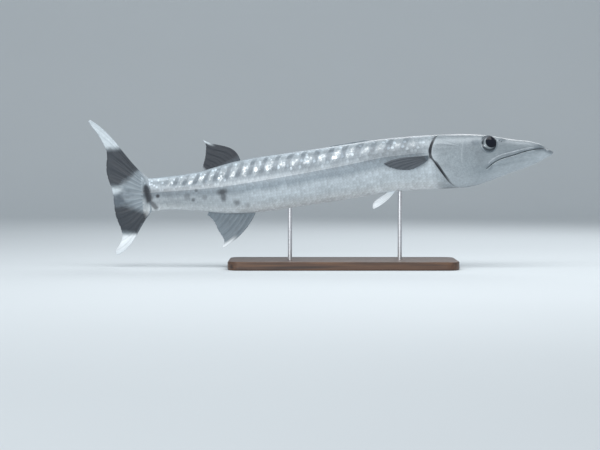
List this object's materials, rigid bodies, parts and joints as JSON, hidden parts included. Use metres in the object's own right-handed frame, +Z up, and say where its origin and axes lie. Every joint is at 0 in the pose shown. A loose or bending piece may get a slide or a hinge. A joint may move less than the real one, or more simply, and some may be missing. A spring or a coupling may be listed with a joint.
{
  "type": "great barracuda display model",
  "caption": "Long silvery predatory fish with a pointed jaw, ridged fins and a forked tail, held over a flat display base by rods.",
  "frame": {"origin": "middle of the display base's underside", "axes": "+X towards the snout, +Y towards the fish's left side, +Z up from the floor"},
  "size_m": [1.0983, 0.2, 0.3496],
  "materials": {
    "head_skin": "satin",
    "body_skin": "satin",
    "dark_fin": "satin",
    "pale_fin": "satin",
    "eye": "gloss",
    "rod": "satin",
    "base": "satin"
  },
  "bodies": {
    "root": {"head": "head_skin", "lower_jaw": "head_skin", "gill_cover_right": "head_skin", "gill_cover_left": "head_skin", "eye_right": "eye", "eye_left": "eye", "torso": "body_skin", "tail_stem": "body_skin", "dorsal_fin_front": "dark_fin", "dorsal_fin_rear": "dark_fin", "anal_fin": "dark_fin", "caudal_fin": "dark_fin", "pectoral_fin_right": "dark_fin", "pectoral_fin_left": "dark_fin", "pelvic_fin_right": "pale_fin", "pelvic_fin_left": "pale_fin", "stand_base": "base", "stand_rod_front": "rod", "stand_rod_rear": "rod"}
  },
  "joints": []
}
